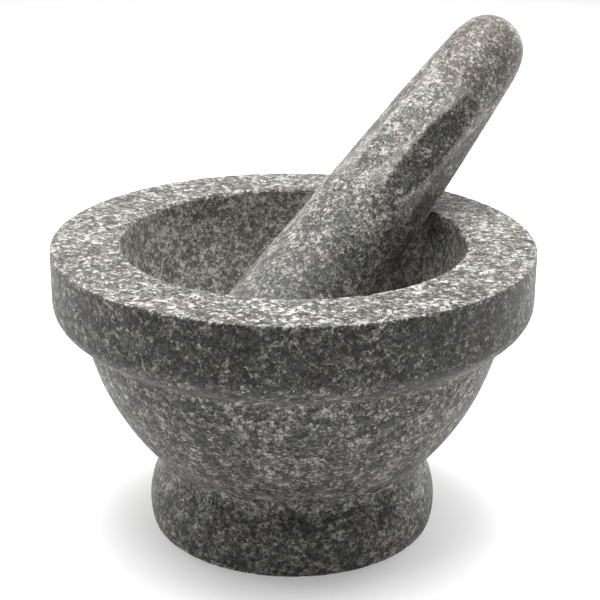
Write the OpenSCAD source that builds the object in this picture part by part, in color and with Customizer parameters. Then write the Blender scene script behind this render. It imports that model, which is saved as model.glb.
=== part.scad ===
// Granite mortar on a low foot, with a loose granite pestle leaning in its bowl.
// Millimetres, +Z up. The origin is on the mortar's axis, in the face it stands on.
// The front is -Y. The pestle leans to the right and to the back.

/* [Mortar foot and bowl] */
// Height from the standing face to the flat top of the rim
mortar_h = 125; // [122:1:130]
// Greatest diameter of the foot
foot_d = 123.4; // [119:0.2:127]
// Height of the foot's widest line above the standing face
foot_belly_z = 9.5; // [6:0.5:12]
// Radius of the foot's bulging side, seen in section
foot_side_r = 31.4; // [27:0.2:38]
// Rounding of the foot's lower edge
foot_edge_r = 2; // [1:0.5:3]
// Radius of the hollow curve between the foot and the bowl
neck_r = 7; // [4:0.5:10]
// Radius of the bowl's outer curve, seen in section
bowl_side_r = 105; // [102:0.5:110]
// Greatest distance of that curve from the mortar's axis
bowl_belly_r = 89; // [88:0.5:90]
// Height of that greatest distance above the standing face
bowl_belly_z = 108; // [106:0.5:110]

/* [Rim band] */
// Outside diameter of the rim band
rim_d = 200; // [198:1:206]
// Height of the rim band's upright side
band_side_h = 21.5; // [17:0.5:24]
// Radius of the curve below the band's upright side
band_turn_r = 11; // [8:0.5:13]
// How far that curve turns under
band_turn_angle = 52; // [46:1:58]
// Radius of the flatter curve that carries on below it
band_under_r = 60; // [40:5:120]
// Rounding of the rim's outer and inner edges
rim_edge_r = 1.2; // [0.4:0.1:2]

/* [Bowl inside] */
// Diameter of the mouth at the rim
mouth_d = 142.8; // [138:0.2:148]
// Depth of the bowl below the rim
bowl_depth = 88; // [84:0.5:92]
// Radius of the bowl's inner side, seen in section
inner_side_r = 108; // [100:1:125]

/* [Pestle] */
// Length of the pestle along its axis
pestle_l = 221.8; // [216:0.1:221.8]
// Radius of the small dome at the very tip
tip_r = 16; // [13:0.5:16.5]
// Radius of the curve from that dome to the handle's side
cap_r = 48; // [40:1:56]
// Radius of the handle just below its cap
grip_r = 17.5; // [16.9:0.1:18]
// Distance of that place from the tip
grip_at = 24; // [22:0.5:27]
// Radius of the head where it is widest
head_r = 27.2; // [26.4:0.1:28]
// Distance of that place from the tip
head_at = 201; // [195:1:202]
// Radius of the waist where the handle ends and the head begins
waist_r = 23.2; // [22.8:0.1:23.8]
// Distance of the waist from the tip
waist_at = 124; // [120:1:128]
// Radius of the handle's and the head's slightly bulging sides, seen in section
side_r = 1800; // [1500:50:2100]
// Radius of the curve from the head's side to its grinding face
head_turn_r = 15; // [11:0.5:18]
// Radius of the domed grinding face
head_face_r = 42; // [38:1:60]

/* [Flats on the handle] */
// Number of flats ground round the handle
flat_count = 8; // [6:1:10]
// Distance of the flats' upper end from the tip
flat_from = 39; // [34:1:46]
// Distance of the flats' lower end from the tip
flat_to = 108; // [98:1:114]
// Depth of each flat at its middle
flat_depth = 1.5; // [0.8:0.05:1.6]

/* [Rest position] */
// Lean of the pestle from upright
lean_angle = 49.72; // [49:0.02:53]
// Direction that it leans in, turned from +X towards +Y
lean_azimuth = 41; // [0:0.5:360]
// Turn of the pestle about its own axis
pestle_spin = 17; // [0:0.5:45]
// Distance of the tip from the mortar's axis, seen from above
tip_out = 125.3; // [125:0.1:128]
// Height of the tip above the standing face
tip_up = 199; // [198:0.1:202]

/* [Hidden] */

// Facets of a full turn about an axis, of a long outline curve and of a short one.
turn_fn = 72;
long_fn = 80;
short_fn = 24;
overlap = 1;
stone = [0.36, 0.36, 0.34];

rim_r = rim_d / 2;
mouth_r = mouth_d / 2;
foot_r = foot_d / 2;

function unit(v) = v / norm(v);

// The point at distance ra from a and rb from b, on the right of the way from a to b.
function third_point(a, ra, b, rb) =
    let (
        gap = norm(b - a),
        way = unit(b - a),
        along = (ra * ra - rb * rb + gap * gap) / (2 * gap)
    )
    a + along * way + sqrt(ra * ra - along * along) * [way[1], -way[0]];

// Centres of the outer curves, as [radius, height].
foot_c = [foot_r - foot_side_r, foot_belly_z];
bowl_c = [bowl_belly_r - bowl_side_r, bowl_belly_z];

// The neck's hollow curve touches the foot's and the bowl's curves from outside.
neck_c = third_point(foot_c, foot_side_r + neck_r, bowl_c, bowl_side_r + neck_r);
neck_low = foot_c + foot_side_r * unit(neck_c - foot_c);
neck_high = bowl_c + bowl_side_r * unit(neck_c - bowl_c);

// The rounded lower edge of the foot touches the foot's curve from inside.
edge_up = foot_edge_r - foot_c[1];
edge_c = [foot_c[0] + sqrt(pow(foot_side_r - foot_edge_r, 2) - edge_up * edge_up), foot_edge_r];
edge_touch = foot_c + foot_side_r * unit(edge_c - foot_c);

// The band turns under on one curve and runs in to the bowl on a flatter one.
band_c = [rim_r - band_turn_r, mortar_h - band_side_h];
band_way = [cos(band_turn_angle), -sin(band_turn_angle)];
band_end = band_c + band_turn_r * band_way;
under_c = band_end - band_under_r * band_way;

// The bowl's inside is a side curve centred level with the rim and a floor on the axis.
side_in = inner_side_r - mouth_r;
floor_r = (inner_side_r * inner_side_r - side_in * side_in - bowl_depth * bowl_depth)
    / (2 * (inner_side_r - bowl_depth));
floor_c = [0, mortar_h - bowl_depth + floor_r];
side_c = [-side_in, mortar_h];
floor_edge = floor_c + floor_r * unit(floor_c - side_c);

// The pestle is drawn hanging along Z, with its tip at the origin.
grip_p = [grip_r, -grip_at];
waist_p = [waist_r, -waist_at];
head_p = [head_r, -head_at];
grip_c = third_point(grip_p, side_r, waist_p, side_r);
head_c = third_point(waist_p, side_r, head_p, side_r);
tip_c = [0, -tip_r];
face_c = [0, head_face_r - pestle_l];

// The cap's curve touches the handle's side, and the head's turn the head's side, from inside.
cap_c = third_point(grip_c, side_r - cap_r, tip_c, cap_r - tip_r);
cap_low = cap_c + cap_r * unit(cap_c - grip_c);
cap_high = cap_c + cap_r * unit(tip_c - cap_c);
turn_c = third_point(head_c, side_r - head_turn_r, face_c, head_face_r - head_turn_r);
turn_side = turn_c + head_turn_r * unit(turn_c - head_c);
turn_face = turn_c + head_turn_r * unit(turn_c - face_c);

// A flat is the mark of a very large wheel, so it runs out at both ends.
flat_mid = (flat_from + flat_to) / 2;
flat_half = (flat_to - flat_from) / 2;
flat_rise = -flat_mid - grip_c[1];
flat_slope = asin(flat_rise / side_r);
flat_top = grip_c[0] + sqrt(side_r * side_r - flat_rise * flat_rise);
side_sag = flat_half * flat_half / (2 * side_r);
wheel_r = flat_half * flat_half / (2 * (flat_depth - side_sag));

// A disc of the section plane that keeps only what lies right of the axis, between two heights.
module half_disc(centre, r, low, high, fn) {
    intersection() {
        translate(centre)
            circle(r, $fn = fn);
        translate([0, low])
            square([rim_d, high - low]);
    }
}

// What is cut from a square corner at [x, z] to leave it rounded; side is 1 outside, -1 inside.
module corner_cut(x, z, side, r) {
    centre = [x - side * r, z - r];
    difference() {
        translate([side > 0 ? centre[0] : centre[0] - r - overlap, centre[1]])
            square(r + overlap);
        translate(centre)
            circle(r, $fn = short_fn);
    }
}

module foot_profile() {
    difference() {
        half_disc(foot_c, foot_side_r, 0, mortar_h, long_fn);
        difference() {
            polygon([
                [edge_c[0], -overlap], [foot_r + overlap, -overlap],
                [foot_r + overlap, edge_touch[1]], edge_touch, edge_c
            ]);
            translate(edge_c)
                circle(foot_edge_r, $fn = short_fn);
        }
    }
    square([foot_c[0] + overlap, foot_c[1]]);
}

module bowl_profile() {
    half_disc(bowl_c, bowl_side_r, foot_c[1], mortar_h, long_fn);
}

// The web that fills the corner between foot and bowl, as far as the neck's hollow curve.
module neck_profile() {
    difference() {
        polygon([[0, neck_low[1]], neck_low, neck_c, neck_high, [0, neck_high[1]]]);
        translate(neck_c)
            circle(neck_r, $fn = short_fn);
    }
}

module band_profile() {
    translate([0, band_c[1]])
        square([rim_r, band_side_h]);
    translate(band_c)
        circle(band_turn_r, $fn = short_fn);
    half_disc(under_c, band_under_r, foot_c[1], band_end[1], long_fn);
    translate([0, band_end[1] - overlap])
        square([band_c[0], mortar_h - band_end[1] + overlap]);
}

module cavity_profile() {
    half_disc(side_c, inner_side_r, floor_edge[1], mortar_h, long_fn);
    half_disc(floor_c, floor_r, 0, mortar_h, long_fn);
    translate([0, mortar_h - overlap])
        square([mouth_r, 2 * overlap]);
}

// One block of granite: foot, neck, bowl and rim band, hollowed from above.
module mortar() {
    color(stone)
        rotate_extrude($fn = turn_fn)
            difference() {
                union() {
                    foot_profile();
                    neck_profile();
                    bowl_profile();
                    band_profile();
                }
                cavity_profile();
                corner_cut(rim_r, mortar_h, 1, rim_edge_r);
                corner_cut(mouth_r, mortar_h, -1, rim_edge_r);
            }
}

module pestle_profile() {
    half_disc(tip_c, tip_r, -pestle_l, 0, short_fn);
    half_disc(cap_c, cap_r, -head_at, cap_high[1], long_fn);
    half_disc(grip_c, side_r, -head_at, cap_low[1], 10 * long_fn);
    half_disc(head_c, side_r, turn_side[1], -grip_at, 10 * long_fn);
    half_disc(turn_c, head_turn_r, -pestle_l, -grip_at, short_fn);
    intersection() {
        translate(face_c)
            circle(head_face_r, $fn = long_fn);
        translate([0, -pestle_l])
            square([turn_face[0], pestle_l + turn_c[1]]);
    }
}

// One wheel-ground flat, cut from the +X side of the handle.
module flat_cut() {
    translate([flat_top - flat_depth, 0, -flat_mid])
        rotate([0, -flat_slope, 0])
            translate([wheel_r, 0, 0])
                rotate([90, 0, 0])
                    cylinder(h = 3 * head_r, r = wheel_r, center = true, $fn = 10 * long_fn);
}

// One block of granite: domed tip, handle with flats and rounded grinding head.
module pestle() {
    color(stone)
        rotate([0, 0, lean_azimuth])
            translate([tip_out, 0, tip_up])
                rotate([0, lean_angle, 0])
                    rotate([0, 0, pestle_spin])
                        difference() {
                            rotate_extrude($fn = turn_fn)
                                pestle_profile();
                            for (turn = [0 : flat_count - 1])
                                rotate([0, 0, turn * 360 / flat_count])
                                    flat_cut();
                        }
}

mortar();
pestle();
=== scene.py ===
"""A granite mortar on a low foot, with a loose granite pestle leaning in its bowl.

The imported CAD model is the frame. Both stones are remade here as finer meshes on the same outlines, with
grinding marks, small chips and softened edges, and get a procedural granite.
"""
import math

import bpy
import numpy as np
from mathutils import Matrix, Vector, noise


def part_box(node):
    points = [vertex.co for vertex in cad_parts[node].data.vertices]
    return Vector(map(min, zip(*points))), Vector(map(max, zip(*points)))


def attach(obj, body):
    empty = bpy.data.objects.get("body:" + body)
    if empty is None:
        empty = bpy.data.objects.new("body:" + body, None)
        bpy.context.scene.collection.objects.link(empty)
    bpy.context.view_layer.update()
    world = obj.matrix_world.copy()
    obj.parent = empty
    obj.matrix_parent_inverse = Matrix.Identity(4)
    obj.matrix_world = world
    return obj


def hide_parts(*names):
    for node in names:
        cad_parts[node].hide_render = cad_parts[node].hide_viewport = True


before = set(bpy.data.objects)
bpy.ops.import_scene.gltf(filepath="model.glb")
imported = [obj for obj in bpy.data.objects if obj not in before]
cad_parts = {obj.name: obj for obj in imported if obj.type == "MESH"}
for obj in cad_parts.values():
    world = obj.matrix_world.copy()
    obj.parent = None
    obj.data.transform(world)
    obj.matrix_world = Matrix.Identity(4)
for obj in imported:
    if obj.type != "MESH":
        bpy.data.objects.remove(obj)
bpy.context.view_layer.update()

MM = 0.001
FULL_TURN = 2 * math.pi

# ---------------------------------------------------------------- section outlines, in mm
# The driving dimensions are the CAD model's own.
mortar_low, mortar_high = (np.array(corner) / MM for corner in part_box("mortar"))
RIM_R = (mortar_high[0] - mortar_low[0]) / 2
MORTAR_H = mortar_high[2] - mortar_low[2]

FOOT_R, FOOT_BELLY_Z, FOOT_SIDE_R, FOOT_EDGE_R = 61.7, 9.5, 31.4, 2.0
NECK_R = 7.0
BOWL_SIDE_R, BOWL_BELLY_R, BOWL_BELLY_Z = 105.0, 89.0, 108.0
BAND_SIDE_H, BAND_TURN_R, BAND_TURN_ANGLE, BAND_UNDER_R = 21.5, 11.0, math.radians(52), 60.0
RIM_EDGE_R, MOUTH_R, BOWL_DEPTH, INNER_SIDE_R = 1.2, 71.4, 88.0, 108.0

PESTLE_L, TIP_R, CAP_R = 221.8, 16.0, 48.0
GRIP_R, GRIP_AT, WAIST_R, WAIST_AT = 17.5, 24.0, 23.2, 124.0
HEAD_R, HEAD_AT, SIDE_R, HEAD_TURN_R, HEAD_FACE_R = 27.2, 201.0, 1800.0, 15.0, 42.0
FLAT_COUNT, FLAT_FROM, FLAT_TO, FLAT_DEPTH = 8, 39.0, 108.0, 1.5
LEAN, AZIMUTH, SPIN = math.radians(49.72), math.radians(41), math.radians(17)
TIP_OUT, TIP_UP = 125.3, 199.0

# Distance between the points of an outline.
ARC_STEP = 0.1


def unit(v):
    return v / np.linalg.norm(v)


def third_point(a, ra, b, rb):
    """The point at distance ra from a and rb from b, on the right of the way from a to b."""
    a, b = np.array(a, float), np.array(b, float)
    gap = np.linalg.norm(b - a)
    way = (b - a) / gap
    along = (ra * ra - rb * rb + gap * gap) / (2 * gap)
    return a + along * way + math.sqrt(ra * ra - along * along) * np.array([way[1], -way[0]])


def wrapped(angle):
    """The same angle, from minus half a turn to half a turn."""
    return (angle + math.pi) % FULL_TURN - math.pi


def arc(centre, start, end):
    """Points from start to end round centre, the short way."""
    start, end = np.array(start) - centre, np.array(end) - centre
    r = np.linalg.norm(start)
    first = math.atan2(start[1], start[0])
    turn = wrapped(math.atan2(end[1], end[0]) - first)
    count = max(4, int(abs(turn) * r / ARC_STEP))
    angles = first + turn * np.linspace(0, 1, count)
    return centre + r * np.stack([np.cos(angles), np.sin(angles)], -1)


def straight(start, end):
    count = max(2, int(np.linalg.norm(np.array(end) - start) / ARC_STEP))
    return np.array(start) + np.linspace(0, 1, count)[:, None] * (np.array(end) - start)


def joined(runs):
    """One outline from runs of points, without the points that two runs share."""
    points = np.concatenate(runs)
    keep = np.r_[True, np.linalg.norm(np.diff(points, axis=0), axis=1) > 1e-6]
    return points[keep]


def mortar_outline():
    """The outline as [radius, height] from the middle of the foot out and up, over the rim and down to the
    middle of the bowl's floor, and the point of the crease under the rim band."""
    foot_c = np.array([FOOT_R - FOOT_SIDE_R, FOOT_BELLY_Z])
    bowl_c = np.array([BOWL_BELLY_R - BOWL_SIDE_R, BOWL_BELLY_Z])
    neck_c = third_point(foot_c, FOOT_SIDE_R + NECK_R, bowl_c, BOWL_SIDE_R + NECK_R)
    neck_low = foot_c + FOOT_SIDE_R * unit(neck_c - foot_c)
    neck_high = bowl_c + BOWL_SIDE_R * unit(neck_c - bowl_c)
    edge_up = FOOT_EDGE_R - foot_c[1]
    edge_x = foot_c[0] + math.sqrt((FOOT_SIDE_R - FOOT_EDGE_R) ** 2 - edge_up ** 2)
    edge_c = np.array([edge_x, FOOT_EDGE_R])
    edge_touch = foot_c + FOOT_SIDE_R * unit(edge_c - foot_c)
    band_c = np.array([RIM_R - BAND_TURN_R, MORTAR_H - BAND_SIDE_H])
    band_way = np.array([math.cos(BAND_TURN_ANGLE), -math.sin(BAND_TURN_ANGLE)])
    band_end = band_c + BAND_TURN_R * band_way
    under_c = band_end - BAND_UNDER_R * band_way
    crease = third_point(bowl_c, BOWL_SIDE_R, under_c, BAND_UNDER_R)
    side_in = INNER_SIDE_R - MOUTH_R
    floor_r = (INNER_SIDE_R ** 2 - side_in ** 2 - BOWL_DEPTH ** 2) / (2 * (INNER_SIDE_R - BOWL_DEPTH))
    floor_c = np.array([0, MORTAR_H - BOWL_DEPTH + floor_r])
    side_c = np.array([-side_in, MORTAR_H])
    floor_edge = floor_c + floor_r * unit(floor_c - side_c)
    outer_c = np.array([RIM_R - RIM_EDGE_R, MORTAR_H - RIM_EDGE_R])
    inner_c = np.array([MOUTH_R + RIM_EDGE_R, MORTAR_H - RIM_EDGE_R])
    inner_low = side_c + INNER_SIDE_R * unit(inner_c - [RIM_EDGE_R, 0] - side_c)
    outline = joined([
        straight([0, 0], [edge_c[0], 0]),
        arc(edge_c, [edge_c[0], 0], edge_touch),
        arc(foot_c, edge_touch, neck_low),
        arc(neck_c, neck_low, neck_high),
        arc(bowl_c, neck_high, crease),
        arc(under_c, crease, band_end),
        arc(band_c, band_end, [RIM_R, band_c[1]]),
        straight([RIM_R, band_c[1]], [RIM_R, outer_c[1]]),
        arc(outer_c, [RIM_R, outer_c[1]], [outer_c[0], MORTAR_H]),
        straight([outer_c[0], MORTAR_H], [inner_c[0], MORTAR_H]),
        arc(inner_c, [inner_c[0], MORTAR_H], inner_low),
        arc(side_c, inner_low, floor_edge),
        arc(floor_c, floor_edge, [0, MORTAR_H - BOWL_DEPTH]),
    ])
    return outline, crease


def pestle_outline():
    """The outline as [radius, height] from the grinding face up to the tip, and the centre of the handle's
    bulging side. The pestle hangs along Z here, with its tip at the origin."""
    grip, waist, head = [GRIP_R, -GRIP_AT], [WAIST_R, -WAIST_AT], [HEAD_R, -HEAD_AT]
    grip_c = third_point(grip, SIDE_R, waist, SIDE_R)
    head_c = third_point(waist, SIDE_R, head, SIDE_R)
    tip_c, face_c = np.array([0, -TIP_R]), np.array([0, HEAD_FACE_R - PESTLE_L])
    cap_c = third_point(grip_c, SIDE_R - CAP_R, tip_c, CAP_R - TIP_R)
    cap_low = cap_c + CAP_R * unit(cap_c - grip_c)
    cap_high = cap_c + CAP_R * unit(tip_c - cap_c)
    turn_c = third_point(head_c, SIDE_R - HEAD_TURN_R, face_c, HEAD_FACE_R - HEAD_TURN_R)
    turn_side = turn_c + HEAD_TURN_R * unit(turn_c - head_c)
    turn_face = turn_c + HEAD_TURN_R * unit(turn_c - face_c)
    outline = joined([
        arc(face_c, [0, -PESTLE_L], turn_face),
        arc(turn_c, turn_face, turn_side),
        arc(head_c, turn_side, waist),
        arc(grip_c, waist, cap_low),
        arc(cap_c, cap_low, cap_high),
        arc(tip_c, cap_high, [0, 0]),
    ])
    return outline, grip_c


def softened(outline, place, reach, sigma):
    """Rounds an outline's corner: points within reach of place move to their weighted neighbours."""
    half = int(3 * sigma / ARC_STEP)
    weights = np.exp(-0.5 * (np.arange(-half, half + 1) * ARC_STEP / sigma) ** 2)
    weights /= weights.sum()
    padded = np.pad(outline, ((half, half), (0, 0)), mode="edge")
    mean = np.stack([np.convolve(padded[:, k], weights, "valid") for k in (0, 1)], -1)
    away = np.linalg.norm(outline - place, axis=1)
    share = np.clip(1.5 - 1.5 * away / reach, 0, 1)[:, None]
    return outline * (1 - share) + mean * share


# ---------------------------------------------------------------- turned meshes
# How many steps of an outline its bends are averaged over.
BEND_WINDOW = 9


def rings(outline, count, bend_weight):
    """Picks count points along an outline, closer together where it bends."""
    steps = np.diff(outline, axis=0)
    length = np.linalg.norm(steps, axis=1)
    heading = np.unwrap(np.arctan2(steps[:, 1], steps[:, 0]))
    bend = np.abs(np.gradient(heading))
    window = np.ones(BEND_WINDOW) / BEND_WINDOW
    cost = length + bend_weight * np.convolve(bend, window, "same")
    along = np.r_[0, np.cumsum(cost)]
    marks = np.linspace(0, along[-1], count)
    return np.stack([np.interp(marks, along, outline[:, k]) for k in (0, 1)], -1)


def turned_grids(section, segments):
    """Angle, radius and height at each [ring, segment] of a section turned about Z."""
    turn = np.linspace(0, FULL_TURN, segments, endpoint=False)
    turn_grid = np.repeat(turn[None, :], len(section), 0)
    r_grid = np.repeat(section[:, :1], segments, 1)
    z_grid = np.repeat(section[:, 1:], segments, 1)
    return turn_grid, r_grid, z_grid


def points_at(turn_grid, r_grid, z_grid):
    return np.stack([r_grid * np.cos(turn_grid), r_grid * np.sin(turn_grid), z_grid], -1)


def normals(points):
    """Outward unit normals of an outline that runs with the solid on its left."""
    way = np.gradient(points, axis=0)
    way /= np.linalg.norm(way, axis=1)[:, None]
    return np.stack([way[:, 1], -way[:, 0]], -1)


def ground_away(section, r_grid, z_grid, depth):
    """Moves a turned surface into the stone by depth, square to its section."""
    outward = normals(section)
    return r_grid - depth * outward[:, :1], z_grid - depth * outward[:, 1:]


def turned_mesh(name, grid):
    """A closed mesh from a grid of points, [ring, segment], whose first and last rings are single points."""
    ring_count, segments = grid.shape[:2]
    inner = grid[1:-1].reshape(-1, 3)
    verts = np.concatenate([grid[0, :1], inner, grid[-1, :1]])
    last = len(verts) - 1
    top = 1 + (ring_count - 3) * segments
    faces = []
    for s in range(segments):
        t = (s + 1) % segments
        faces.append((0, 1 + t, 1 + s))
        faces.append((top + s, top + t, last))
    for r in range(ring_count - 3):
        low = 1 + r * segments
        for s in range(segments):
            t = (s + 1) % segments
            faces.append((low + s, low + t, low + segments + t, low + segments + s))
    mesh = bpy.data.meshes.new(name)
    mesh.from_pydata((verts * MM).tolist(), [], faces)
    mesh.polygons.foreach_set("use_smooth", [True] * len(mesh.polygons))
    mesh.update()
    piece = bpy.data.objects.new(name, mesh)
    bpy.context.scene.collection.objects.link(piece)
    return piece


def paint(piece, name, grid):
    """Stores one number per vertex, for the materials."""
    values = np.concatenate([grid[0, :1], grid[1:-1].ravel(), grid[-1, :1]])
    layer = piece.data.attributes.new(name, "FLOAT", "POINT")
    layer.data.foreach_set("value", values.astype(np.float32))


def waves(points, size, octaves, seed):
    """Smooth noise from about -1 to 1 at each point; size is the width of its waves, in mm."""
    shape = points.shape[:-1]
    shift = Vector((seed * 17.3, seed * 5.1, seed * 9.7))
    flat = (points / size).reshape(-1, 3)
    values = [noise.fractal(Vector(p) + shift, 1.0, 2.0, octaves) for p in flat.tolist()]
    return np.array(values).reshape(shape)


def swell(points, size, octaves, seed):
    """The same noise from about 0 to 1."""
    return 0.5 + 0.5 * waves(points, size, octaves, seed)


def smooth_step(low, high, x):
    t = np.clip((x - low) / (high - low), 0, 1)
    return t * t * (3 - 2 * t)


def near_ring(r_grid, z_grid, r, z, spread):
    """1 on the circle at radius r and height z, falling to 0 around it; spread is in square mm."""
    return np.exp(-((r_grid - r) ** 2 + (z_grid - z) ** 2) / spread)


# ---------------------------------------------------------------- mortar mesh, in mm
MORTAR_SEGMENTS, MORTAR_RINGS, MORTAR_BEND_WEIGHT = 400, 232, 9.0

# The crease under the band has a soft fillet: how far it reaches, and how soft it is.
CREASE_REACH, CREASE_SIGMA = 9.0, 1.9

# The band's lower turn wanders in height: by how much, on which side it is lowest, how large the smaller
# wave with three crests is, and that wave's phase.
WANDER, WANDER_LOW_SIDE, WANDER_THREES, THREES_START = 0.3, math.radians(200), 0.4, 0.7

# The heights between which the wandering comes in and dies out, and the radius outside which it shows.
WANDER_FROM, WANDER_TO, WANDER_R = (84, 92), (104, 120), 80

# An edge's worn line lies this far inside the stone, and its marks spread this far, in square mm.
RIM_WORN_IN, RIM_WORN_SPREAD = 0.5, 2.0
FOOT_WORN_IN, FOOT_WORN_UP, FOOT_WORN_SPREAD = 1.5, 0.8, 3.0

# Depths of the marks, and of the chips on the edges.
MORTAR_BROAD, MORTAR_RIPPLE, MORTAR_PIT = 0.08, 0.06, 0.10
INSIDE_RIPPLE, EDGE_CHIP = 0.20, 0.65

# The parts of the noise's range over which chips and pits come in.
CHIP_RANGE, PIT_RANGE = (0.15, 0.75), (0.35, 0.9)

# The share of the marks that the standing face loses, how fast they come back above it, and how far
# inside the foot's side it ends.
STANDING_LOSS, STANDING_RISE, STANDING_INSET = 0.9, 0.6, 2.5

# The marks fade towards the axis inside this radius.
MORTAR_AXIS_FADE = 6.0

# The upright side's painted shade, a darker colour that stands in for the little light its upright face
# gets, comes in between these distances inside the rim's outside, and the top's tone between these distances
# below the top.
SIDE_SHADE_RANGE, TOP_TONE = (15.0, 1.5), (0.5, 0.1)


def mortar_edges(r_grid, z_grid):
    """How close a point is to the rim's outer or inner edge, or to the foot's lower edge."""
    rim_z = MORTAR_H - RIM_WORN_IN
    rim_edge = near_ring(r_grid, z_grid, RIM_R - RIM_WORN_IN, rim_z, RIM_WORN_SPREAD)
    mouth_edge = near_ring(r_grid, z_grid, MOUTH_R + RIM_WORN_IN, rim_z, RIM_WORN_SPREAD)
    foot_edge = near_ring(r_grid, z_grid, FOOT_R - FOOT_WORN_IN, FOOT_WORN_UP, FOOT_WORN_SPREAD)
    return np.maximum(np.maximum(rim_edge, mouth_edge), foot_edge)


def mortar_stone():
    outline, crease = mortar_outline()
    section = rings(softened(outline, crease, CREASE_REACH, CREASE_SIGMA), MORTAR_RINGS, MORTAR_BEND_WEIGHT)
    turn_grid, r_grid, z_grid = turned_grids(section, MORTAR_SEGMENTS)
    surface = points_at(turn_grid, r_grid, z_grid)

    # The band's lower turn was ground by hand, so its height wanders a little.
    below_band = smooth_step(*WANDER_FROM, z_grid) * (1 - smooth_step(*WANDER_TO, z_grid))
    hand = np.cos(turn_grid - WANDER_LOW_SIDE) + WANDER_THREES * np.sin(3 * turn_grid + THREES_START)
    z_grid = z_grid - WANDER * hand * below_band * (r_grid > WANDER_R)

    after_top = np.arange(MORTAR_RINGS) > np.argmax(section[:, 1] >= MORTAR_H - 0.01)
    inside = after_top & (section[:, 0] < MOUTH_R + 0.2)
    inside_grid = np.repeat(inside[:, None], MORTAR_SEGMENTS, 1).astype(float)
    top_grid = smooth_step(MORTAR_H - TOP_TONE[0], MORTAR_H - TOP_TONE[1], z_grid)
    # Painted shade: the band's upright side is painted darker along this mask.
    side_grid = smooth_step(RIM_R - SIDE_SHADE_RANGE[0], RIM_R - SIDE_SHADE_RANGE[1], r_grid) * (1 - top_grid)
    edges = mortar_edges(r_grid, z_grid)

    # Everything is ground away from the stone, so the marks go inward only.
    broad = swell(surface, size=38.0, octaves=2, seed=1)
    ripple = swell(surface, size=9.0, octaves=3, seed=2)
    chips = smooth_step(*CHIP_RANGE, waves(surface, size=3.2, octaves=3, seed=3))
    pits = smooth_step(*PIT_RANGE, waves(surface, size=2.6, octaves=2, seed=4))
    depth = MORTAR_BROAD * broad + MORTAR_RIPPLE * ripple + MORTAR_PIT * pits
    depth += EDGE_CHIP * chips * edges + INSIDE_RIPPLE * inside_grid * ripple
    standing = np.exp(-z_grid / STANDING_RISE) * (r_grid < FOOT_R - STANDING_INSET)
    depth *= 1 - STANDING_LOSS * standing
    depth *= np.clip(r_grid / MORTAR_AXIS_FADE, 0, 1)
    r_new, z_new = ground_away(section, r_grid, z_grid, depth)
    stone = turned_mesh("mortar_stone", points_at(turn_grid, r_new, np.maximum(z_new, 0.0)))
    paint(stone, "top", top_grid)
    paint(stone, "side", side_grid)
    paint(stone, "inside", inside_grid)
    paint(stone, "edge", edges)
    return stone


# ---------------------------------------------------------------- pestle mesh, in mm
PESTLE_SEGMENTS, PESTLE_RINGS, PESTLE_BEND_WEIGHT = 256, 300, 12.0

# How softly the flats meet each other and the round of the handle.
ARRIS_SOFTNESS = 0.045

# How far a hand-laid flat may start, end and cut from where it should.
FIRST_STRAY, FINAL_STRAY, CUT_STRAY = (-1.5, 2.5), (-2.0, 5.0), (-0.15, 0.0)

# All the flats sit a little round from their places, and twist about the handle by so much per mm.
FLAT_SHIFT, FLAT_TWIST = math.radians(2.2), math.radians(-0.26)

# How far round the handle from its middle a flat is worked out, and the radius that stands for none.
FLAT_SPREAD, NO_FLAT = math.radians(60), 1e3

# The distances from the tip between which the flats come in, and the radius outside which they do.
FLATS_IN, FLATS_R = (8, 20), 12

# How much paler or darker each flat's stone is, and the depths between which that comes in. Most values are
# tone that differs at random; the flats at places 5 and 6, which face the front and right, are painted far
# darker: painted shade.
FLAT_TONES_AND_SHADE = (0.01, -0.03, 0.0, -0.02, 0.0, -0.12, -0.11, -0.01)
SHADE_AND_TONE_DEPTH = (0.1, 0.6)

# An arris comes in at heights where the flats' middles pass between these depths, on stone that is itself
# cut by less than about ARRIS_DEPTH.
ARRIS_IN, ARRIS_DEPTH = (0.2, 0.9), 0.2

# Depths of the marks, and the radius inside which they fade towards the axis.
PESTLE_BROAD, PESTLE_RIPPLE, PESTLE_PIT = 0.06, 0.05, 0.08
PESTLE_AXIS_FADE = 5.0

# Distances from the tip between which the cap's tone dies out and the head's paler grey comes in; that grey
# is painted light on the head, where it lies in the bowl.
CAP_TONE, HEAD_LIGHT_RANGE = (10, 70), (125, 200)


def wheel_reach(first, final, cut, grip_c, z_grid):
    """How far from the axis a flat's middle line is, at each height: a large wheel ground it from first to
    final, and cut is its depth halfway between them."""
    middle, half = (first + final) / 2, (final - first) / 2
    rise = -middle - grip_c[1]
    top = grip_c[0] + math.sqrt(SIDE_R ** 2 - rise ** 2)
    wheel_r = half * half / (2 * (cut - half * half / (2 * SIDE_R)))
    slope = math.asin(rise / SIDE_R)
    wheel_x = top - cut + wheel_r * math.cos(slope)
    wheel_z = -middle + wheel_r * math.sin(slope)
    return wheel_x - np.sqrt(np.maximum(wheel_r ** 2 - (z_grid - wheel_z) ** 2, 0))


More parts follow.
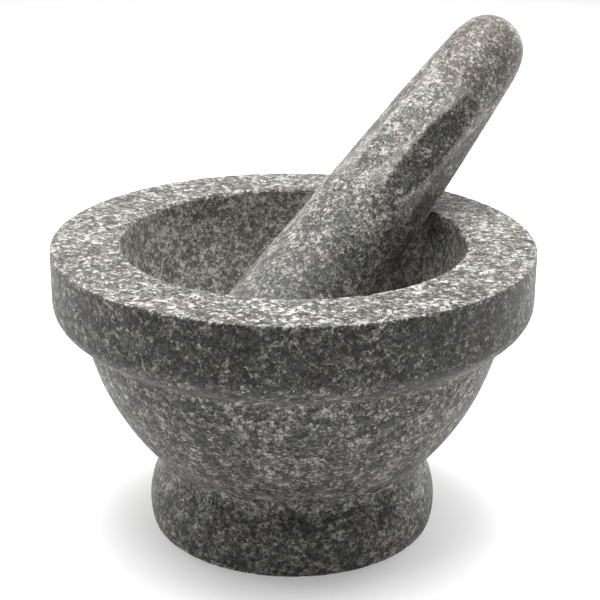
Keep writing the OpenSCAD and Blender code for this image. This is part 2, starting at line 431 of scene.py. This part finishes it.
def handle_flats(turn_grid, r_grid, z_grid, grip_c):
    """The handle's radius with its flats, how close a point is to an arris between them, and its tone and
    painted shade.
    """
    rng = np.random.default_rng(7)
    shade_and_tone_grid = np.zeros_like(r_grid)
    deepest = np.zeros_like(r_grid)
    shares = [np.exp(-r_grid / ARRIS_SOFTNESS)]
    for k in range(FLAT_COUNT):
        first = FLAT_FROM + rng.uniform(*FIRST_STRAY)
        final = FLAT_TO + rng.uniform(*FINAL_STRAY)
        cut = FLAT_DEPTH + rng.uniform(*CUT_STRAY)
        reach = wheel_reach(first, final, cut, grip_c, z_grid)
        twist = FLAT_TWIST * (-z_grid - (first + final) / 2)
        off = wrapped(turn_grid - SPIN - k * FULL_TURN / FLAT_COUNT - FLAT_SHIFT - twist)
        deepest = np.maximum(deepest, r_grid - reach)
        near = np.abs(off) < FLAT_SPREAD
        flat_r = np.where(near, reach / np.cos(np.where(near, off, 0)), NO_FLAT)
        shares.append(np.exp(-flat_r / ARRIS_SOFTNESS))
        shade_and_tone_grid += FLAT_TONES_AND_SHADE[k] * smooth_step(*SHADE_AND_TONE_DEPTH, r_grid - flat_r)
    soft_r = -ARRIS_SOFTNESS * np.log(np.maximum(sum(shares), 1e-300))
    soft_r = np.minimum(soft_r, r_grid)
    fade = smooth_step(*FLATS_IN, -z_grid) * (r_grid > FLATS_R)
    ground = r_grid + (soft_r - r_grid) * fade
    arris = smooth_step(*ARRIS_IN, deepest) * np.exp(-(((r_grid - ground) / ARRIS_DEPTH) ** 2)) * fade
    return ground, arris, shade_and_tone_grid


def pestle_stone():
    outline, grip_c = pestle_outline()
    section = rings(outline, PESTLE_RINGS, PESTLE_BEND_WEIGHT)
    turn_grid, r_grid, z_grid = turned_grids(section, PESTLE_SEGMENTS)
    ground, arris, shade_and_tone_grid = handle_flats(turn_grid, r_grid, z_grid, grip_c)

    surface = points_at(turn_grid, ground, z_grid)
    broad = swell(surface, size=30.0, octaves=2, seed=11)
    ripple = swell(surface, size=7.0, octaves=3, seed=12)
    pits = smooth_step(*PIT_RANGE, waves(surface, size=2.2, octaves=2, seed=13))
    depth = PESTLE_BROAD * broad + PESTLE_RIPPLE * ripple + PESTLE_PIT * pits
    depth *= np.clip(ground / PESTLE_AXIS_FADE, 0, 1)
    r_new, z_new = ground_away(section, ground, z_grid, depth)

    lean = Matrix.Rotation(AZIMUTH, 3, "Z") @ Matrix.Rotation(LEAN, 3, "Y")
    tip = Matrix.Rotation(AZIMUTH, 3, "Z") @ Vector((TIP_OUT, 0, TIP_UP))
    placed = points_at(turn_grid, r_new, z_new) @ np.array(lean).T + np.array(tip)
    stone = turned_mesh("pestle_stone", placed)
    # Painted highlight: the arris mask lays a pale line along each arris in the material.
    paint(stone, "edge", arris)
    paint(stone, "tone_and_shade", shade_and_tone_grid)
    paint(stone, "head", smooth_step(*HEAD_LIGHT_RANGE, -z_grid))
    paint(stone, "cap", 1 - smooth_step(*CAP_TONE, -z_grid))
    return stone


# ---------------------------------------------------------------- granite
class Nodes:
    """Short ways to add and link shader nodes."""

    def __init__(self, tree):
        self.tree = tree

    def add(self, kind, **values):
        node = self.tree.nodes.new(kind)
        for key, value in values.items():
            setattr(node, key, value)
        return node

    def put(self, socket, value):
        if isinstance(value, bpy.types.NodeSocket):
            self.tree.links.new(value, socket)
        else:
            socket.default_value = value

    def math(self, operation, a, b=0.0, clamp=False):
        node = self.add("ShaderNodeMath", operation=operation, use_clamp=clamp)
        self.put(node.inputs[0], a)
        self.put(node.inputs[1], b)
        return node.outputs[0]

    def sum(self, *values):
        total = values[0]
        for value in values[1:]:
            total = self.math("ADD", total, value)
        return total

    def scaled(self, value, amount):
        return self.math("MULTIPLY", value, amount)

    def less(self, value, amount):
        return self.math("SUBTRACT", value, amount)

    def vector(self, operation, a, b):
        node = self.add("ShaderNodeVectorMath", operation=operation)
        self.put(node.inputs[0], a)
        self.put(node.inputs[1], b)
        return node.outputs[0]

    def noise(self, where, size_mm, detail, roughness, color=False):
        node = self.add("ShaderNodeTexNoise")
        self.put(node.inputs["Vector"], where)
        node.inputs["Scale"].default_value = 1 / (size_mm * MM)
        node.inputs["Detail"].default_value = detail
        node.inputs["Roughness"].default_value = roughness
        return node.outputs["Color" if color else "Fac"]

    def warped(self, where, size_mm, amount_mm):
        """A place moved about by up to half of amount_mm, in waves of size_mm."""
        wander = self.noise(where, size_mm, detail=2.0, roughness=0.6, color=True)
        wander = self.vector("SUBTRACT", wander, (0.5, 0.5, 0.5))
        return self.vector("ADD", where, self.vector("MULTIPLY", wander, (amount_mm * MM,) * 3))

    def cells(self, where, size_mm):
        """Two random numbers for each crystal of about this size."""
        node = self.add("ShaderNodeTexVoronoi")
        self.put(node.inputs["Vector"], where)
        node.inputs["Scale"].default_value = 1 / (size_mm * MM)
        split = self.add("ShaderNodeSeparateColor")
        self.put(split.inputs[0], node.outputs["Color"])
        return split.outputs[0], split.outputs[1]

    def ramp(self, fac, stops):
        node = self.add("ShaderNodeValToRGB")
        self.put(node.inputs[0], fac)
        while len(node.color_ramp.elements) < len(stops):
            node.color_ramp.elements.new(0.5)
        for element, (place, colour) in zip(node.color_ramp.elements, stops):
            element.position = place
            element.color = (*colour, 1.0)
        return node.outputs[0]

    def mix(self, fac, a, b, blend="MIX"):
        node = self.add("ShaderNodeMix", data_type="RGBA", blend_type=blend)
        self.put(node.inputs[0], fac)
        self.put(node.inputs[6], a)
        self.put(node.inputs[7], b)
        return node.outputs[2]

    def attribute(self, name):
        return self.add("ShaderNodeAttribute", attribute_name=name).outputs["Fac"]


# How much each layer moves the balance from dark to pale.
COARSE_SHARE, FINE_SHARE, WORM_SHARE = 0.40, 0.32, 0.20
CLUSTER_SHARE, PATCH_SHARE = 0.54, 0.20
CRYSTAL_MEAN = (COARSE_SHARE + FINE_SHARE) / 2

# Widths of the clusters of flecks, of the broad patches and of the warm patches, in mm.
CLUSTER_MM, PATCH_MM, WARM_MM = 8.0, 34.0, 21.0

# The worms' spacing as a share of the grain, and how thin they are.
WORM_SPACING, WORM_THINNESS = 1.3, 13.0

# The noise above which the stone turns warm, how sharply it does, which crystals stay cold, and how far
# the tint is taken.
WARM_FROM, WARM_GAIN, COLD_BELOW, WARM_STRENGTH = 0.54, 6.0, 0.4, 0.7

# The stone's colours from the dark matrix to the pale feldspar.
STONE_STOPS = [
    (0.10, (0.0150, 0.0146, 0.0128)),
    (0.32, (0.0320, 0.0313, 0.0274)),
    (0.44, (0.0640, 0.0625, 0.0550)),
    (0.54, (0.1150, 0.1124, 0.0995)),
    (0.64, (0.2050, 0.2005, 0.1790)),
    (0.76, (0.3600, 0.3520, 0.3180)),
    (0.95, (0.5000, 0.4900, 0.4500)),
]

# The small crystals that are grey quartz, how far that covers them, and its colour.
QUARTZ_ABOVE, QUARTZ_COVER, QUARTZ = 0.7, 0.4, (0.088, 0.092, 0.088, 1.0)

# The least roughness, and what broad waves of polish and each crystal add to it.
ROUGH_BASE, ROUGH_WAVES, ROUGH_CRYSTALS = 0.42, 0.16, 0.08
POLISH_MM = 5.0

# The fine relief: how strong and how high it is, the size of its pitting, and the shares of the pitting,
# of the fine crystals and of the coarse ones in it.
BUMP_STRENGTH, BUMP_MM, PITTING_MM = 0.35, 0.15, 0.9
PITTING_BUMP, FINE_BUMP, COARSE_BUMP = 0.55, 0.25, 0.20


def stone_balance(n, where, grain, lift, marks, vivid, coarse, fine):
    """From dark to pale: the crystals, thin pale worms between them, and clusters and patches of both."""
    worms = n.less(n.noise(where, grain * WORM_SPACING, detail=2.0, roughness=0.55), 0.5)
    worms = n.math("SUBTRACT", 1.0, n.scaled(n.math("ABSOLUTE", worms), WORM_THINNESS), clamp=True)
    clusters = n.less(n.noise(where, CLUSTER_MM, detail=2.0, roughness=0.55), 0.5)
    patches = n.less(n.noise(where, PATCH_MM, detail=2.0, roughness=0.5), 0.5)
    crystals = n.sum(n.scaled(coarse, COARSE_SHARE), n.scaled(fine, FINE_SHARE))
    layers = [crystals]
    for mark, amount in vivid.items():
        layers.append(n.scaled(n.less(crystals, CRYSTAL_MEAN), n.scaled(n.attribute(mark), amount)))
    layers.append(n.scaled(worms, WORM_SHARE))
    layers.append(n.scaled(clusters, CLUSTER_SHARE))
    layers.append(n.scaled(patches, PATCH_SHARE))
    layers.append(lift)
    for mark, amount in marks.items():
        layers.append(n.scaled(n.attribute(mark), amount))
    return n.sum(*layers)


def granite(name, shift, grain, lift, marks, vivid, tint, dust_and_painted_light):
    """Granite: a dark matrix with irregular pale feldspar flecks, grey quartz and a little pink.

    grain is the size of the pale flecks in mm, and lift moves the balance from dark to pale. marks maps a
    painted attribute to how much it moves that balance, and vivid maps one to how much it widens the
    crystals' range from dark to pale. tint multiplies the colour of the warm patches, and the last argument
    maps a painted attribute to how far a colour covers the stone, and which colour: some of these covers are
    the stone's own colour, and some are painted light and painted highlights.
    """
    material = bpy.data.materials.new(name)
    material.use_nodes = True
    n = Nodes(material.node_tree)
    shader = material.node_tree.nodes["Principled BSDF"]
    where = n.vector("ADD", n.add("ShaderNodeTexCoord").outputs["Object"], shift)
    coarse, coarse_other = n.cells(n.warped(where, grain, grain * 2.6), grain * 1.05)
    fine, fine_other = n.cells(n.warped(where, grain * 0.5, grain * 1.4), grain * 0.55)

    colour = n.ramp(stone_balance(n, where, grain, lift, marks, vivid, coarse, fine), STONE_STOPS)
    warm = n.less(n.noise(where, WARM_MM, detail=3.0, roughness=0.6), WARM_FROM)
    warm = n.math("MULTIPLY", warm, WARM_GAIN, clamp=True)
    warm = n.scaled(n.scaled(warm, n.math("GREATER_THAN", coarse_other, COLD_BELOW)), WARM_STRENGTH)
    colour = n.mix(warm, colour, n.mix(1.0, colour, tint, "MULTIPLY"))
    quartz = n.scaled(n.math("GREATER_THAN", fine_other, QUARTZ_ABOVE), QUARTZ_COVER)
    colour = n.mix(quartz, colour, QUARTZ)
    # Covers over the stone: partly its own colour, partly painted light and painted highlights.
    for mark, (amount, cover_colour) in dust_and_painted_light.items():
        colour = n.mix(n.scaled(n.attribute(mark), amount), colour, cover_colour)
    n.put(shader.inputs["Base Color"], colour)

    polish = n.scaled(n.noise(where, POLISH_MM, detail=2.0, roughness=0.5), ROUGH_WAVES)
    n.put(shader.inputs["Roughness"], n.sum(polish, ROUGH_BASE, n.scaled(coarse_other, ROUGH_CRYSTALS)))
    shader.inputs["Specular IOR Level"].default_value = 0.2

    pitting = n.scaled(n.noise(where, PITTING_MM, detail=3.0, roughness=0.65), PITTING_BUMP)
    height = n.sum(pitting, n.scaled(fine, FINE_BUMP), n.scaled(coarse, COARSE_BUMP))
    bump = n.add("ShaderNodeBump")
    bump.inputs["Strength"].default_value = BUMP_STRENGTH
    bump.inputs["Distance"].default_value = BUMP_MM * MM
    n.put(bump.inputs["Height"], height)
    n.put(shader.inputs["Normal"], bump.outputs["Normal"])
    return material


mortar = mortar_stone()
mortar.data.materials.append(granite(
    "mortar_granite",
    shift=(0.31, 0.12, 0.05),
    grain=1.6,
    lift=0.032,
    # The side mark paints the band's upright side darker: painted shade.
    marks={"side": -0.135, "inside": 0.11, "edge": 0.06},
    vivid={"top": 0.35, "inside": 0.35, "side": 0.15},
    tint=(1.16, 0.93, 0.92, 1.0),
    # Paler inside the bowl, from the inside mark and this cover: partly stone ground pale by use, partly
    # painted light.
    dust_and_painted_light={"inside": (0.16, (0.340, 0.337, 0.305, 1.0))},
))

pestle = pestle_stone()
pestle.data.materials.append(granite(
    "pestle_granite",
    shift=(0.72, 0.45, 0.23),
    grain=1.25,
    lift=0.052,
    # The tone mark holds the flats' own tones and the painted shade on the two flats facing the front and
    # right.
    marks={"edge": 0.06, "tone_and_shade": 1.0},
    vivid={},
    tint=(1.2, 0.9, 0.86, 1.0),
    dust_and_painted_light={
        # The edge mark and this pale cover paint a highlight along the arrises of the flats.
        "edge": (0.20, (0.36, 0.355, 0.338, 1.0)),
        # Painted light: a paler grey over the head, where it lies in the bowl.
        "head": (0.3, (0.170, 0.176, 0.176, 1.0)),
        "cap": (0.20, (0.155, 0.108, 0.090, 1.0)),
    },
))

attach(mortar, "mortar")
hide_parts("mortar")
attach(pestle, "pestle")
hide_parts("pestle")

# ---------------------------------------------------------------- floor, in metres
FLOOR_HALF = 6.0

# The floor is lit from within: dark in front of the first distance along Y, at full glow behind the second.
GLOW_FROM, GLOW_TO, GLOW = -0.8, -0.2, 0.35


def floor_material():
    material = bpy.data.materials.new("floor")
    material.use_nodes = True
    n = Nodes(material.node_tree)
    shader = material.node_tree.nodes["Principled BSDF"]
    shader.inputs["Base Color"].default_value = (0.62, 0.62, 0.62, 1.0)
    shader.inputs["Roughness"].default_value = 0.9
    shader.inputs["Specular IOR Level"].default_value = 0.1
    shader.inputs["Emission Color"].default_value = (1.0, 1.0, 1.0, 1.0)
    place = n.add("ShaderNodeSeparateXYZ")
    n.put(place.inputs[0], n.add("ShaderNodeTexCoord").outputs["Object"])
    glow = n.add("ShaderNodeMapRange", interpolation_type="SMOOTHSTEP")
    n.put(glow.inputs["Value"], place.outputs[1])
    glow.inputs["From Min"].default_value = GLOW_FROM
    glow.inputs["From Max"].default_value = GLOW_TO
    glow.inputs["To Min"].default_value = 0.0
    glow.inputs["To Max"].default_value = GLOW
    n.put(shader.inputs["Emission Strength"], glow.outputs["Result"])
    return material


def add_floor():
    corners = [(-1, -1), (1, -1), (1, 1), (-1, 1)]
    mesh = bpy.data.meshes.new("floor")
    mesh.from_pydata([(x * FLOOR_HALF, y * FLOOR_HALF, 0) for x, y in corners], [], [(0, 1, 2, 3)])
    mesh.materials.append(floor_material())
    floor = bpy.data.objects.new("floor", mesh)
    bpy.context.scene.collection.objects.link(floor)
    return floor


floor = add_floor()

# ---------------------------------------------------------------- lights and surroundings
LIGHT_AIM = (0.0, 0.0, 0.08)
LIGHT_SIDE = 0.9

# The surroundings' greys from the front, 0, to the back, 1.
SKY_STOPS = [(0.0, 0.01), (0.25, 0.01), (0.42, 0.10), (0.58, 0.80), (1.0, 1.0)]

# How far the sky straight above is moved along those greys towards the front.
SKY_FALL = 0.20
SKY_STRENGTH = 1.3


def soft_light(name, at, watts):
    """A square light at a place in metres, aimed at the mortar."""
    data = bpy.data.lights.new(name, "AREA")
    data.shape = "SQUARE"
    data.size = LIGHT_SIDE
    data.energy = watts
    lamp = bpy.data.objects.new(name, data)
    bpy.context.scene.collection.objects.link(lamp)
    lamp.location = at
    lamp.rotation_euler = (Vector(LIGHT_AIM) - Vector(at)).to_track_quat("-Z", "Y").to_euler()


def add_surroundings():
    """A sky that is bright behind the object and dark in front of it."""
    world = bpy.data.worlds.new("world")
    bpy.context.scene.world = world
    world.use_nodes = True
    n = Nodes(world.node_tree)
    background = world.node_tree.nodes["Background"]
    split = n.add("ShaderNodeSeparateXYZ")
    n.put(split.inputs[0], n.add("ShaderNodeTexCoord").outputs["Generated"])
    towards_back = n.sum(n.scaled(split.outputs[1], 0.5), 0.5)
    upward = n.scaled(n.math("MAXIMUM", split.outputs[2], 0.0), -SKY_FALL)
    sky = n.ramp(n.sum(towards_back, upward), [(place, (grey,) * 3) for place, grey in SKY_STOPS])
    n.put(background.inputs["Color"], sky)
    background.inputs["Strength"].default_value = SKY_STRENGTH


soft_light("top_light", (-0.03, -0.02, 1.2), 34.0)
soft_light("left_light", (-0.9, 0.6, 0.35), 8.5)
soft_light("right_light", (0.85, 0.75, 0.35), 10.5)
add_surroundings()

# ---------------------------------------------------------------- camera
# It stands in front of the object, a little above it, and looks down at it through a long lens.
CAMERA_AT = (0.0, -0.609524, 0.324466)
CAMERA_TILT = math.radians(69.603)
CAMERA_YAW = math.radians(-0.264)
CAMERA_ROLL = math.radians(0.439)
LENS_MM = 93.04
SENSOR_MM = 36.0


def add_camera():
    data = bpy.data.cameras.new("camera")
    data.lens = LENS_MM
    data.sensor_width = SENSOR_MM
    data.clip_start = 0.01
    data.clip_end = 50.0
    camera = bpy.data.objects.new("camera", data)
    bpy.context.scene.collection.objects.link(camera)
    camera.matrix_world = (
        Matrix.Translation(CAMERA_AT)
        @ Matrix.Rotation(CAMERA_YAW, 4, "Z")
        @ Matrix.Rotation(CAMERA_TILT, 4, "X")
        @ Matrix.Rotation(CAMERA_ROLL, 4, "Z")
    )
    return camera


bpy.context.scene.camera = add_camera()
bpy.context.scene.view_settings.view_transform = "Standard"
bpy.context.scene.view_settings.look = "None"
